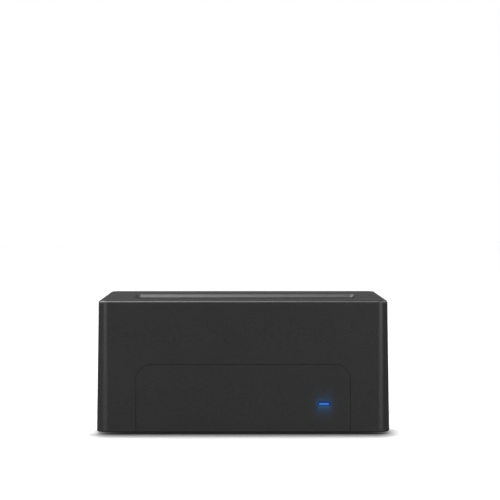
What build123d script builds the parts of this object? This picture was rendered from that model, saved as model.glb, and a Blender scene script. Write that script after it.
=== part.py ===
"""Desktop docking station that holds one bare disk drive upright.

A dark moulded housing stands on four rubber feet. Its flat top has one long slot.
A drive goes down through the slot into a bay and lands on an edge connector.
A sprung flap closes the slot and leaves a notch open for the small drive size.
The power switch, the power socket and the data socket are in the back wall.

Millimetres. +Z is up, the front faces -Y, and the origin is on the table,
under the middle of the housing.
"""

from build123d import *
import math
import os

# Drives that the bay takes
drive_width = 101.6
drive_thickness = 26.1
small_drive_width = 69.85
small_drive_thickness = 9.5
connector_from_side = 30.12
connector_from_face = 3.5
drive_insertion = 40.0

# Slot in the top
slot_shift = 1.2
slot_side_play = 0.8
slot_face_play = 0.75
slot_lead = 1.4
slot_corner_radius = 1.0

# Housing, whose foot is this far from the slot on each side
side_margin = 15.4
front_margin = 19.9
back_margin = 32.5
bay_floor_z = 21.0
wall_lean = 1.0
corner_radius = 5.4
least_corner_radius = 1.0
wall = 2.4
top_skin = 2.4
top_edge_radius = 1.2
foot_edge_radius = 0.6
floor_gap = 1.0
cut_over = 1.0

# Front panel, a flush arch that runs down to the foot of the housing
panel_side_margin = 18.2
panel_top_z = 31.9
panel_radius = 7.2
panel_thickness = 1.2
panel_seam = 0.15
peg_radius = 1.2
peg_play = 0.1
peg_head_radius = 2.0
peg_head_thickness = 0.7
peg_inset = 6.0
peg_height_shares = (0.2, 0.8)

# Status light, at this share of the way to the board's right edge
light_across_share = 0.787
light_z = 14.1
lens_width = 6.4
lens_height = 2.3
lens_play = 0.05
lens_recess = 0.1
pipe_collar = 1.2
pipe_collar_length = 1.4
led_radius = 1.4
led_length = 4.6
led_overhang = 2.2
led_gap = 0.4
led_wire = 0.5
led_wire_spread = 1.27
led_wire_run = 1.6
wire_tail = 1.0

# Flap and its hinge
flap_thickness = 1.8
flap_side_gap = 0.4
flap_top_gap = 0.3
flap_stop_lap = 0.8
flap_tip_gap = 0.6
flap_fold_gap = 0.3
flap_front_lip = 0.5
flap_edge_radius = 0.3
notch_play = 1.2
notch_side_play = 0.8
notch_radius = 2.0
barrel_radius = 1.9
knuckle_length = 9.0
middle_knuckle_length = 12.0
hinge_pin_radius = 1.0
hinge_play = 0.06
pin_seat_play = 0.02
pin_head_radius = 1.7
pin_head_length = 0.8
pin_tip_chamfer = 0.3
flap_rib_width = 1.2
flap_rib_height = 1.5
flap_rib_margin = 3.0
flap_rib_shares = (0.16, 0.33, 0.67, 0.84)

# Torsion springs on the hinge pin
spring_wire_radius = 0.25
spring_bore_gap = 0.3
spring_pitch = 0.95
spring_turns = 4.25
spring_end_gap = 1.6
spring_flap_leg = 8.0
spring_wall_leg = 7.0

# Bay
bay_wall = 1.6
bay_side_gap = 0.2
bay_hinge_gap = 0.3
bay_floor_thickness = 1.8
bay_window_play = 0.5
bay_corner_radius = 1.2
ear_reach = 4.0
ear_radius = 3.4
ear_thickness = 2.2
ear_front_inset = 9.0
ear_back_inset = 8.0
boss_radius = 2.7
boss_height = 8.0
boss_roof = 1.2

# Base cover
base_thickness = 2.2
base_lift = 0.3
base_play = 0.25
vent_width = 2.0
vent_length = 16.0
vent_pitch = 5.5
vent_count = 9
vent_place_shares = ((-0.10, -0.31), (-0.03, 0.18))
cradle_thickness = 3.0
cradle_cheek = 1.3
cradle_share = 0.45

# Corner posts, which the base cover is screwed to
post_radius = 4.4
post_root = 0.6
post_pilot_depth = 12.0

# Rubber feet
rubber_radius = 5.5
rubber_pocket = 0.6
rubber_pocket_play = 0.1
rubber_edge = 0.4
rubber_inset_x = 10.5
rubber_inset_y = 7.5

# Screws
thread_play = 0.05
cover_screw_radius = 1.5
cover_screw_length = 10.0
cover_head_radius = 2.75
cover_head_height = 1.5
small_screw_radius = 1.3
board_screw_length = 6.0
bay_screw_length = 8.0
pan_head_radius = 2.4
pan_head_height = 1.7
head_edge_radius = 0.6
cross_width = 0.7
cross_span_share = 0.62
cross_depth_share = 0.55

# Circuit board
board_thickness = 1.6
board_width = 100.0
board_shift = -3.0
board_front_set = 12.3
board_back_gap = 0.8
board_corner_radius = 1.5
board_hole_inset = 4.0
board_hole_play = 0.2
board_post_radius = 3.0
board_post_gap = 0.6
leg_play = 0.2

# Edge connector for the drive
connector_reach = 4.5
connector_base_length = 44.6
connector_base_width = 8.4
connector_base_height = 3.0
connector_body_length = 38.4
connector_body_width = 5.4
connector_tower_length = 3.0
connector_tower_width = 6.4
connector_tower_rise = 1.2
connector_tower_chamfer = 0.8
contact_pitch = 1.27
power_contact_count = 15
signal_contact_count = 7
segment_gap = 6.35
contact_width = 0.7
contact_thickness = 0.3
contact_length = 5.2
contact_set_back = 0.4
blade_slot_width = 1.7
blade_slot_depth = 6.0
blade_slot_margin = 1.2
blade_key = 1.2

# Data socket
usb_x = 22.0
usb_width = 12.2
usb_height = 12.6
usb_length = 17.0
usb_sheet = 0.4
usb_proud = 0.3
usb_hole_play = 0.3
usb_edge_radius = 0.6
usb_set_back = 0.5
usb_cavity_depth = 9.5
usb_lower_width = 8.6
usb_lower_height = 7.2
usb_lower_chamfer = 1.4
usb_upper_width = 5.8
usb_upper_height = 2.2
usb_floor = 1.2
usb_tongue_width = 5.6
usb_tongue_height = 3.0
usb_tongue_set_back = 0.8
usb_upper_tongue_width = 4.4
usb_upper_tongue_height = 0.8
usb_leg_width = 1.6
usb_leg_set_back = 8.0
usb_leg_root = 1.0
usb_pin_width = 0.9
usb_pin_thickness = 0.25
usb_pin_length = 6.0
usb_pin_pitch = 2.2
usb_fine_pin_width = 0.4
usb_fine_pin_pitch = 0.85
usb_fine_pin_count = 5

# Power socket
jack_x = 0.0
jack_width = 9.0
jack_height = 11.0
jack_length = 13.4
jack_axis_height = 6.0
jack_nose_radius = 4.0
jack_hole_play = 0.25
jack_bore_radius = 3.15
jack_bore_depth = 9.5
jack_pin_radius = 1.05
jack_pin_root = 2.0
jack_pin_play = 0.02
jack_pin_set_back = 0.6
jack_tab_width = 2.6
jack_tab_thickness = 0.6
jack_tab_spread = 3.2
jack_edge_radius = 0.5

# Power switch
switch_x = -24.0
switch_case_width = 14.2
switch_case_height = 10.4
switch_case_depth = 11.5
switch_case_wall = 0.9
switch_case_shelf = 1.3
switch_hole_play = 0.2
switch_proud = 0.2
switch_cavity_depth = 7.2
switch_pivot_depth = 2.5
switch_edge_radius = 0.4
rocker_end_play = 1.0
rocker_face_play = 0.3
rocker_crown = 2.9
rocker_valley = 1.9
rocker_skirt = 0.9
rocker_waist = 2.2
rocker_keel = 2.6
rocker_keel_half_width = 1.0
rocker_tilt = 9.0
rocker_pin_radius = 0.8
rocker_pin_play = 0.06
rocker_pin_length = 1.0
rocker_pin_end_play = 0.1
rocker_edge_radius = 0.25
switch_tab_width = 1.2
switch_tab_thickness = 0.6
switch_tab_spread = 4.0

# Opening for the sockets in the back wall
port_recess_depth = 1.5
port_recess_margin = 3.0
port_recess_radius = 2.0
port_recess_below = 2.6
port_recess_above = 1.8
port_pad_margin = 1.6

# Parts on the board, beside the connector, in front of it and in a row behind the bay
chip_side = 7.0
chip_height = 1.4
chip_stand = 0.15
chip_lead_count = 12
chip_lead_pitch = 0.5
chip_lead_width = 0.22
chip_lead_reach = 1.0
chip_lead_thickness = 0.15
lead_shoulder_share = 0.35
lead_knee_share = 0.6
chip_across_share = 0.31
chip_row_share = 0.33
small_chip_length = 4.9
small_chip_width = 3.9
small_chip_height = 1.5
small_chip_lead_count = 4
small_chip_pitch = 1.27
small_chip_lead_width = 0.42
front_row_share = 0.12
regulator_spread = 7.0
inductor_side = 7.0
inductor_height = 4.0
inductor_chamfer = 1.2
capacitor_radius = 3.15
capacitor_height = 7.7
capacitor_edge_radius = 0.5
capacitor_base_side = 6.6
capacitor_base_height = 0.8
rear_row_gap = 2.2
rear_row_spread = 12.0
crystal_length = 11.0
crystal_width = 4.7
crystal_height = 3.4
crystal_edge_radius = 0.4
passive_length = 1.6
passive_width = 0.8
passive_height = 0.6
passive_pitch_x = 3.0
passive_pitch_y = 2.4
passive_column_count = 6
passive_row_count = 3
passive_gap = 1.2

# Heights that follow
overall_height = bay_floor_z + drive_insertion
shell_height = overall_height - floor_gap
lean_angle = math.degrees(math.atan2(wall_lean, shell_height))
skin_underside_z = overall_height - top_skin
board_top_z = light_z - led_radius
board_bottom_z = board_top_z - board_thickness
base_bottom_z = floor_gap + base_lift
base_top_z = base_bottom_z + base_thickness
bay_bottom_z = bay_floor_z - bay_floor_thickness
ear_top_z = skin_underside_z - boss_height
flap_top_z = skin_underside_z - flap_top_gap
flap_underside_z = flap_top_z - flap_thickness
hinge_z = flap_underside_z - barrel_radius

# Plan of the slot and of the housing round it
slot_width = drive_width + 2 * slot_side_play
slot_depth = drive_thickness + 2 * slot_face_play
base_width = slot_width + 2 * side_margin
base_depth = slot_depth + front_margin + back_margin
slot_left_x = slot_shift - slot_width / 2
slot_right_x = slot_shift + slot_width / 2
slot_front_y = front_margin - base_depth / 2
slot_back_y = slot_front_y + slot_depth
slot_y = (slot_front_y + slot_back_y) / 2
drive_left_x = slot_left_x + slot_side_play
drive_back_y = slot_back_y - slot_face_play
connector_x = drive_left_x + connector_from_side
connector_y = drive_back_y - connector_from_face

# Plan of the hinge, the flap and the bay
hinge_y = slot_front_y - flap_fold_gap - flap_thickness - barrel_radius
flap_left_x = slot_left_x + flap_side_gap
flap_right_x = slot_right_x - flap_side_gap
flap_front_y = hinge_y - flap_front_lip
flap_back_y = slot_back_y + flap_stop_lap
notch_x = drive_left_x + small_drive_width + notch_side_play
notch_y = drive_back_y - small_drive_thickness - notch_play
bay_left_x = slot_left_x - bay_side_gap
bay_right_x = slot_right_x + bay_side_gap
bay_front_y = hinge_y - barrel_radius - bay_hinge_gap
bay_back_y = flap_back_y + flap_tip_gap
bay_width = bay_right_x - bay_left_x
bay_depth = bay_back_y - bay_front_y
bay_middle = ((bay_left_x + bay_right_x) / 2, (bay_front_y + bay_back_y) / 2)


def lean_at(z):
    """How far the housing's wall has leaned in at height z."""
    return wall_lean * (z - floor_gap) / shell_height


# Plan of the sockets and the switch
usb_z = board_top_z + usb_height / 2
jack_z = board_top_z + jack_axis_height
switch_z = board_top_z + switch_case_height / 2
port_top_z = board_top_z + max(usb_height, jack_height, switch_case_height) + port_recess_above
port_bottom_z = board_top_z - port_recess_below
port_height = port_top_z - port_bottom_z
port_z = (port_top_z + port_bottom_z) / 2
port_left_x = switch_x - switch_case_width / 2 - port_recess_margin
port_right_x = usb_x + usb_width / 2 + port_recess_margin
port_width = port_right_x - port_left_x
port_x = (port_left_x + port_right_x) / 2
port_y = base_depth / 2 - lean_at(port_top_z) - port_recess_depth
usb_front_y = port_y + usb_proud
jack_back_y = port_y - wall - jack_length
switch_front_y = port_y + switch_proud
switch_back_y = switch_front_y - switch_case_depth
switch_pivot_y = switch_front_y - switch_pivot_depth

# Plan of the board
board_left_x = board_shift - board_width / 2
board_right_x = board_shift + board_width / 2
board_front_y = bay_front_y + board_front_set
board_back_y = port_y - wall - board_back_gap
board_depth = board_back_y - board_front_y
board_y = (board_front_y + board_back_y) / 2
led_back_y = board_front_y - led_overhang + led_length
tail_z = board_bottom_z - wire_tail

# Front panel and status light
panel_width = base_width - 2 * panel_side_margin
light_x = board_right_x * light_across_share
lens_face_y = lean_at(light_z) - base_depth / 2 + lens_recess
pipe_back_y = board_front_y - led_overhang - led_gap
collar_top_z = light_z + lens_height / 2 + pipe_collar
collar_front_y = lean_at(collar_top_z) - base_depth / 2 + wall
cradle_y = collar_front_y + (pipe_back_y - collar_front_y) * cradle_share

# Places that repeat
post_x = base_width / 2 - wall - post_radius + post_root
post_y = base_depth / 2 - wall - post_radius + post_root
post_places = [(x, y) for x in (-post_x, post_x) for y in (-post_y, post_y)]
rubber_x = post_x - rubber_inset_x
rubber_y = post_y - rubber_inset_y
rubber_places = {
    "front_left": (-rubber_x, -rubber_y),
    "front_right": (rubber_x, -rubber_y),
    "rear_left": (-rubber_x, rubber_y),
    "rear_right": (rubber_x, rubber_y),
}
ear_left_x = bay_left_x - bay_wall - ear_reach
ear_right_x = bay_right_x + bay_wall + ear_reach
ear_ys = (bay_front_y + ear_front_inset, bay_back_y - ear_back_inset)
ear_places = [(x, y) for x in (ear_left_x, ear_right_x) for y in ear_ys]
board_rear_hole_y = post_y - post_radius - board_post_gap - board_post_radius
board_hole_places = [
    (x, y)
    for x in (board_left_x + board_hole_inset, board_right_x - board_hole_inset)
    for y in (board_front_y + board_hole_inset, board_rear_hole_y)
]
panel_height = panel_top_z - floor_gap
peg_x = panel_width / 2 - peg_inset
peg_zs = [floor_gap + share * panel_height for share in peg_height_shares]
peg_places = [(x, z) for x in (-peg_x, peg_x) for z in peg_zs]
usb_leg_y = usb_front_y - usb_leg_set_back
usb_leg_places = [(usb_x + side * (usb_width - usb_sheet) / 2, usb_leg_y) for side in (-1, 1)]
jack_tab_places = [
    (jack_x, jack_back_y + jack_tab_thickness),
    (jack_x - jack_tab_spread, jack_back_y + jack_length / 2),
    (jack_x + jack_tab_spread, jack_back_y + jack_length / 2),
]
switch_tab_places = [
    (switch_x + side * switch_tab_spread, switch_back_y + switch_tab_thickness)
    for side in (-1, 0, 1)
]
led_wire_places = [(light_x + side * led_wire_spread, led_back_y + led_wire_run) for side in (-1, 1)]
rear_row_y = bay_back_y + bay_wall + rear_row_gap + capacitor_base_side / 2
capacitor_places = [
    (switch_x, rear_row_y),
    ((switch_x + jack_x) / 2, rear_row_y),
    ((jack_x + usb_x) / 2, rear_row_y),
]
inductor_places = [(switch_x - rear_row_spread, rear_row_y), (usb_x + rear_row_spread, rear_row_y)]
connector_right_x = connector_x + connector_base_length / 2
chip_x = connector_right_x + chip_across_share * (board_right_x - connector_right_x)
chip_y = board_front_y + chip_row_share * board_depth
front_row_y = board_front_y + front_row_share * board_depth
passive_half_width = ((passive_column_count - 1) * passive_pitch_x + passive_length) / 2
passive_half_depth = ((passive_row_count - 1) * passive_pitch_y + passive_width) / 2
crystal_x = chip_x + chip_side / 2 + chip_lead_reach + passive_gap + passive_half_width
regulator_places = [
    (connector_x - regulator_spread, front_row_y),
    (connector_x + regulator_spread, front_row_y),
]
front_passive_x = (regulator_places[1][0] + chip_x) / 2
passive_places = [
    (crystal_x, chip_y + crystal_width / 2 + passive_gap + passive_half_depth),
    (front_passive_x, front_row_y),
]


def on_board(places, z=board_top_z):
    """The same places in space, at the height of the board's top unless told otherwise."""
    return [(x, y, z) for x, y in places]


def write_piece(piece, name):
    """Label one finished piece and write it to its own file."""
    piece.part.label = name
    export_step(piece.part, f"parts/{name}.step")


STAND = (Align.CENTER, Align.CENTER, Align.MIN)
HANG = (Align.CENTER, Align.CENTER, Align.MAX)


def leaning_form(inset, low, high):
    """The housing's outer form between two heights, shrunk all round by inset."""
    shrink = inset + lean_at(low)
    radius = max(corner_radius - shrink, least_corner_radius)
    with BuildPart() as form:
        with BuildSketch(Plane.XY.offset(low)):
            RectangleRounded(base_width - 2 * shrink, base_depth - 2 * shrink, radius)
        extrude(amount=high - low, taper=lean_angle)
    return form.part


def arch_form(grow):
    """The front panel's arch, grown all round, as a prism from the middle to the front."""
    low = floor_gap - cut_over
    high = panel_top_z + grow
    with BuildPart() as form:
        with BuildSketch(Plane.XZ):
            with Locations((0, (low + high) / 2)):
                Rectangle(panel_width + 2 * grow, high - low)
            fillet(vertices().group_by(Axis.Y)[-1], panel_radius + grow)
        extrude(amount=base_depth)
    return form.part


def lens_bore():
    """The hole for the light pipe, from inside the housing out past the front."""
    with BuildPart() as bore:
        with BuildSketch(Plane.XZ.offset(post_y)):
            with Locations((light_x, light_z)):
                SlotOverall(lens_width + 2 * lens_play, lens_height + 2 * lens_play)
        extrude(amount=base_depth / 2)
    return bore.part


def cross_recess(head_radius, head_height):
    """A cross-shaped cutter for a screw's head, whose top is at z = 0."""
    span = 2 * head_radius * cross_span_share
    depth = head_height * cross_depth_share
    with BuildPart() as cutter:
        Box(span, cross_width, depth, align=HANG)
        Box(cross_width, span, depth, align=HANG)
    return cutter.part


def pan_screw(length):
    """A pan-head screw that stands with its head up, its seat at z = 0."""
    recess = cross_recess(pan_head_radius, pan_head_height)
    with BuildPart() as screw:
        Cylinder(pan_head_radius, pan_head_height, align=STAND)
        fillet(edges().group_by(Axis.Z)[-1], head_edge_radius)
        Cylinder(small_screw_radius, length, align=HANG)
        with Locations((0, 0, pan_head_height)):
            add(recess, mode=Mode.SUBTRACT)
    return screw.part


def countersunk_screw():
    """A flat-head screw with its head up, flush with z = 0."""
    recess = cross_recess(cover_head_radius, cover_head_height)
    with BuildPart() as screw:
        Cone(cover_screw_radius, cover_head_radius, cover_head_height, align=HANG)
        with Locations((0, 0, -cover_head_height)):
            Cylinder(cover_screw_radius, cover_screw_length - cover_head_height, align=HANG)
        add(recess, mode=Mode.SUBTRACT)
    return screw.part


def lead_form(body_height, width):
    """One gull-wing lead, from a chip's side at x = 0 out along +X to the board."""
    middle = chip_stand + body_height / 2
    shoulder = chip_lead_reach * lead_shoulder_share
    knee = chip_lead_reach * lead_knee_share
    with BuildPart() as lead:
        with BuildSketch(Plane.XZ.offset(-width / 2)):
            with BuildLine():
                Polyline(
                    (0, middle),
                    (shoulder, middle),
                    (knee, 0),
                    (chip_lead_reach, 0),
                    (chip_lead_reach, chip_lead_thickness),
                    (knee + chip_lead_thickness, chip_lead_thickness),
                    (shoulder + chip_lead_thickness, middle + chip_lead_thickness),
                    (0, middle + chip_lead_thickness),
                    close=True,
                )
            make_face()
        extrude(amount=width)
    return lead.part


def chip_form(length, width, height):
    """A moulded chip body that stands just off z = 0."""
    with BuildPart() as chip:
        with Locations((0, 0, chip_stand)):
            Box(length, width, height, align=STAND)
        chamfer(edges().group_by(Axis.Z)[-1], chip_lead_thickness)
    return chip.part


def chip_leads(length, width, height, count, pitch, lead_width, all_sides):
    """The leads of a chip whose body is centred at the origin."""
    lead = lead_form(height, lead_width)
    with BuildPart() as leads:
        for step in range(count):
            along = (step - (count - 1) / 2) * pitch
            spots = [
                Location((along, width / 2, 0), (0, 0, 90)),
                Location((along, -width / 2, 0), (0, 0, -90)),
            ]
            if all_sides:
                spots += [
                    Location((length / 2, along, 0)),
                    Location((-length / 2, along, 0), (0, 0, 180)),
                ]
            with Locations(*spots):
                add(lead)
    return leads.part


def torsion_spring():
    """A coil round +Z with its first leg at +X, laid back along -Y, and its last along -X."""
    radius = hinge_pin_radius + spring_bore_gap + spring_wire_radius
    with BuildPart() as spring:
        with BuildLine() as route:
            coil = Helix(spring_pitch, spring_turns * spring_pitch, radius)
            Line(coil @ 0 - (coil % 0) * spring_flap_leg, coil @ 0)
            Line(coil @ 1, coil @ 1 + (coil % 1) * spring_wall_leg)
        with BuildSketch(Plane(origin=coil @ 0 - (coil % 0) * spring_flap_leg, z_dir=coil % 0)):
            Circle(spring_wire_radius)
        sweep(path=route.wire())
    return spring.part


os.makedirs("parts", exist_ok=True)

# Forms that the housing and its front panel share
with BuildPart() as outer_form:
    add(leaning_form(0, floor_gap, overall_height))
    fillet(edges().group_by(Axis.Z)[-1], top_edge_radius)
    fillet(edges().group_by(Axis.Z)[0], foot_edge_radius)
panel_backing = leaning_form(panel_thickness, floor_gap - cut_over, overall_height)
cavity_form = leaning_form(wall, floor_gap - cut_over, skin_underside_z)
panel_arch = arch_form(0)
light_bore = lens_bore()
with BuildPart() as panel_pocket:
    add(arch_form(panel_seam))
    add(panel_backing, mode=Mode.SUBTRACT)

# Upper housing: four leaning walls and the top, with posts, bosses and openings
with BuildPart() as upper_housing:
    add(outer_form.part)
    add(cavity_form, mode=Mode.SUBTRACT)
    with BuildSketch(Plane.XY.offset(base_top_z)):
        with Locations(*post_places):
            Circle(post_radius)
    extrude(amount=skin_underside_z - base_top_z + top_skin / 2)
    with BuildSketch(Plane.XY.offset(ear_top_z)):
        with Locations(*ear_places):
            Circle(boss_radius)
    extrude(amount=boss_height + top_skin / 2)
    with BuildSketch(Plane.XZ.offset(-port_y)):
        with Locations((port_x, port_z)):
            RectangleRounded(
                port_width + 2 * port_pad_margin,
                port_height + 2 * port_pad_margin,
                port_recess_radius + port_pad_margin,
            )
    extrude(amount=wall)
    with BuildSketch(Plane.XZ.offset(-port_y)):
        with Locations((port_x, port_z)):
            RectangleRounded(port_width, port_height, port_recess_radius)
    extrude(amount=-port_recess_depth - wall, mode=Mode.SUBTRACT)
    with BuildSketch(Plane.XZ.offset(-port_y)):
        with Locations((usb_x, usb_z)):
            Rectangle(usb_width + 2 * usb_hole_play, usb_height + 2 * usb_hole_play)
        with Locations((jack_x, jack_z)):
            Circle(jack_nose_radius + jack_hole_play)
        with Locations((switch_x, switch_z)):
            Rectangle(
                switch_case_width + 2 * switch_hole_play,
                switch_case_height + 2 * switch_hole_play,
            )
    extrude(amount=2 * wall, mode=Mode.SUBTRACT)
    add(panel_pocket.part, mode=Mode.SUBTRACT)
    with BuildSketch(Plane.XZ.offset(post_y)):
        with Locations(*peg_places):
            Circle(peg_radius + peg_play)
    extrude(amount=base_depth / 2, mode=Mode.SUBTRACT)
    add(light_bore, mode=Mode.SUBTRACT)
    with BuildSketch(Plane.XY.offset(skin_underside_z)):
        with Locations((slot_shift, slot_y)):
            RectangleRounded(slot_width, slot_depth, slot_corner_radius)
    extrude(amount=top_skin, mode=Mode.SUBTRACT)
    slot_rim = faces().sort_by(Axis.Z)[-1].inner_wires()[0].edges()
    chamfer(slot_rim, slot_lead)
    with Locations(*on_board(post_places, base_top_z)):
        Cylinder(
            cover_screw_radius + thread_play, post_pilot_depth, align=STAND, mode=Mode.SUBTRACT
        )
    with Locations(*on_board(ear_places, ear_top_z)):
        Cylinder(
            small_screw_radius + thread_play,
            boss_height - boss_roof,
            align=STAND,
            mode=Mode.SUBTRACT,
        )
write_piece(upper_housing, "upper_housing")

# Front panel: the flush arch, held by four headed pegs through the wall
with BuildPart() as front_panel:
    add(panel_arch)
    add(outer_form.part, mode=Mode.INTERSECT)
    add(panel_backing, mode=Mode.SUBTRACT)
    for place_x, place_z in peg_places:
        inner_y = lean_at(place_z + peg_head_radius) - base_depth / 2 + wall
        front_y = lean_at(place_z) - base_depth / 2 + panel_thickness / 2
        with BuildSketch(Plane.XZ.offset(-inner_y)):
            with Locations((place_x, place_z)):
                Circle(peg_radius)
        extrude(amount=inner_y - front_y)
        with BuildSketch(Plane.XZ.offset(-inner_y)):
            with Locations((place_x, place_z)):
                Circle(peg_head_radius)
        extrude(amount=-peg_head_thickness)
    add(light_bore, mode=Mode.SUBTRACT)
write_piece(front_panel, "front_panel")

# Base cover: the plate inside the rim, with vents, board posts and the pipe's cradle
with BuildPart() as base_cover:
    add(leaning_form(wall + base_play, base_bottom_z, base_top_z))
    with Locations(*on_board(board_hole_places, base_top_z)):
        Cylinder(board_post_radius, board_bottom_z - base_top_z, align=STAND)
    with Locations(*on_board(board_hole_places, board_bottom_z)):
        Cylinder(
            small_screw_radius + thread_play,
            board_screw_length,
            align=HANG,
            mode=Mode.SUBTRACT,
        )
    with Locations((light_x, cradle_y, base_top_z)):
        Box(
            lens_width + 2 * cradle_cheek,
            cradle_thickness,
            light_z - base_top_z,
            align=STAND,
        )
    with BuildSketch(Plane.XZ.offset(-cradle_y - cradle_thickness)):
        with Locations((light_x, light_z)):
            SlotOverall(lens_width + 2 * lens_play, lens_height + 2 * lens_play)
    extrude(amount=2 * cradle_thickness, mode=Mode.SUBTRACT)
    with Locations(*on_board(rubber_places.values(), base_bottom_z)):
        Cylinder(
            rubber_radius + rubber_pocket_play, rubber_pocket, align=STAND, mode=Mode.SUBTRACT
        )
    with BuildSketch(Plane.XY.offset(base_bottom_z)):
        for share_x, share_y in vent_place_shares:
            with Locations((share_x * base_width, share_y * base_depth)):
                with GridLocations(vent_pitch, vent_length, vent_count, 1):
                    SlotOverall(vent_length, vent_width, rotation=90)
    extrude(amount=base_thickness, mode=Mode.SUBTRACT)
    with Locations(*on_board(post_places, base_bottom_z)):
        Cone(
            cover_head_radius + thread_play,
            cover_screw_radius + thread_play,
            cover_head_height,
            align=STAND,
            mode=Mode.SUBTRACT,
        )
        Cylinder(
            cover_screw_radius + thread_play, base_thickness, align=STAND, mode=Mode.SUBTRACT
        )
write_piece(base_cover, "base_cover")

# Rubber feet
for foot_name, (foot_x, foot_y) in rubber_places.items():
    with BuildPart() as rubber_foot:
        with Locations((foot_x, foot_y, 0)):
            Cylinder(rubber_radius, base_bottom_z + rubber_pocket, align=STAND)
        fillet(edges().group_by(Axis.Z)[0], rubber_edge)
    write_piece(rubber_foot, f"rubber_foot_{foot_name}")

# Light pipe: a clear bar from the status light to the front, with a stop collar
with BuildPart() as light_pipe:
    with BuildSketch(Plane.XZ.offset(-pipe_back_y)):
        with Locations((light_x, light_z)):
            SlotOverall(lens_width, lens_height)
    extrude(amount=pipe_back_y - lens_face_y)
    with BuildSketch(Plane.XZ.offset(-collar_front_y)):
        with Locations((light_x, light_z)):
            SlotOverall(lens_width + 2 * pipe_collar, lens_height + 2 * pipe_collar)
    extrude(amount=-pipe_collar_length)
write_piece(light_pipe, "light_pipe")

# Status light: a round-nosed diode that lies on the front edge of the board
with BuildPart() as status_led:
    with BuildSketch(Plane.XZ.offset(-led_back_y)):
        with Locations((light_x, light_z)):
            Circle(led_radius)
    extrude(amount=led_length - led_radius)
    with Locations((light_x, led_back_y - led_length + led_radius, light_z)):
        Sphere(led_radius)
write_piece(status_led, "status_led")

# Its two wires, bent down through the board
with BuildPart() as status_led_wires:
    for wire_x, wire_y in led_wire_places:
        with Locations((wire_x, (led_back_y + wire_y + led_wire / 2) / 2, light_z)):
            Box(led_wire, wire_y + led_wire / 2 - led_back_y, led_wire)
        with Locations((wire_x, wire_y, light_z + led_wire / 2)):
            Box(led_wire, led_wire, light_z + led_wire / 2 - tail_z, align=HANG)
write_piece(status_led_wires, "status_led_wires")

# Drive bay: a well under the slot, hung from the top on four ears
with BuildPart() as drive_bay:
    with BuildSketch(Plane.XY.offset(bay_bottom_z)):
        with Locations(bay_middle):
            RectangleRounded(bay_width + 2 * bay_wall, bay_depth + 2 * bay_wall, bay_corner_radius)
    extrude(amount=skin_underside_z - bay_bottom_z)
    with BuildSketch(Plane.XY.offset(bay_floor_z)):
        with Locations(bay_middle):
            Rectangle(bay_width, bay_depth)
    extrude(amount=skin_underside_z - bay_floor_z, mode=Mode.SUBTRACT)
    with BuildSketch(Plane.XY.offset(bay_bottom_z)):
        with Locations((connector_x, connector_y)):
            Rectangle(
                connector_body_length + 2 * connector_tower_length + 2 * bay_window_play,
                connector_tower_width + 2 * bay_window_play,
            )
    extrude(amount=bay_floor_thickness, mode=Mode.SUBTRACT)
    with BuildSketch(Plane.XY.offset(ear_top_z - ear_thickness)):
        with Locations(*ear_places):
            Circle(ear_radius)
        for side, wall_x in ((-1, bay_left_x), (1, bay_right_x)):
            for ear_y in ear_ys:
                with Locations((wall_x + side * (bay_wall + ear_reach) / 2, ear_y)):
                    Rectangle(ear_reach + bay_wall, 2 * ear_radius)
    extrude(amount=ear_thickness)
    with Locations(*on_board(ear_places, ear_top_z - ear_thickness)):
        Cylinder(
            small_screw_radius + board_hole_play, ear_thickness, align=STAND, mode=Mode.SUBTRACT
        )
    with BuildSketch(Plane.YZ.offset(bay_left_x - bay_wall)):
        with Locations((hinge_y, hinge_z)):
            Circle(hinge_pin_radius + pin_seat_play)
    extrude(amount=bay_width + 2 * bay_wall, mode=Mode.SUBTRACT)
write_piece(drive_bay, "drive_bay")

# Hinge pin, pushed in from the right until its head meets the bay
with BuildPart() as flap_hinge_pin:
    with BuildSketch(Plane.YZ.offset(bay_left_x - bay_wall)):
        with Locations((hinge_y, hinge_z)):
            Circle(hinge_pin_radius)
    extrude(amount=bay_width + 2 * bay_wall)
    chamfer(edges().group_by(Axis.X)[0], pin_tip_chamfer)
    with BuildSketch(Plane.YZ.offset(bay_right_x + bay_wall)):
        with Locations((hinge_y, hinge_z)):
            Circle(pin_head_radius)
    extrude(amount=pin_head_length)
write_piece(flap_hinge_pin, "flap_hinge_pin")

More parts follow.
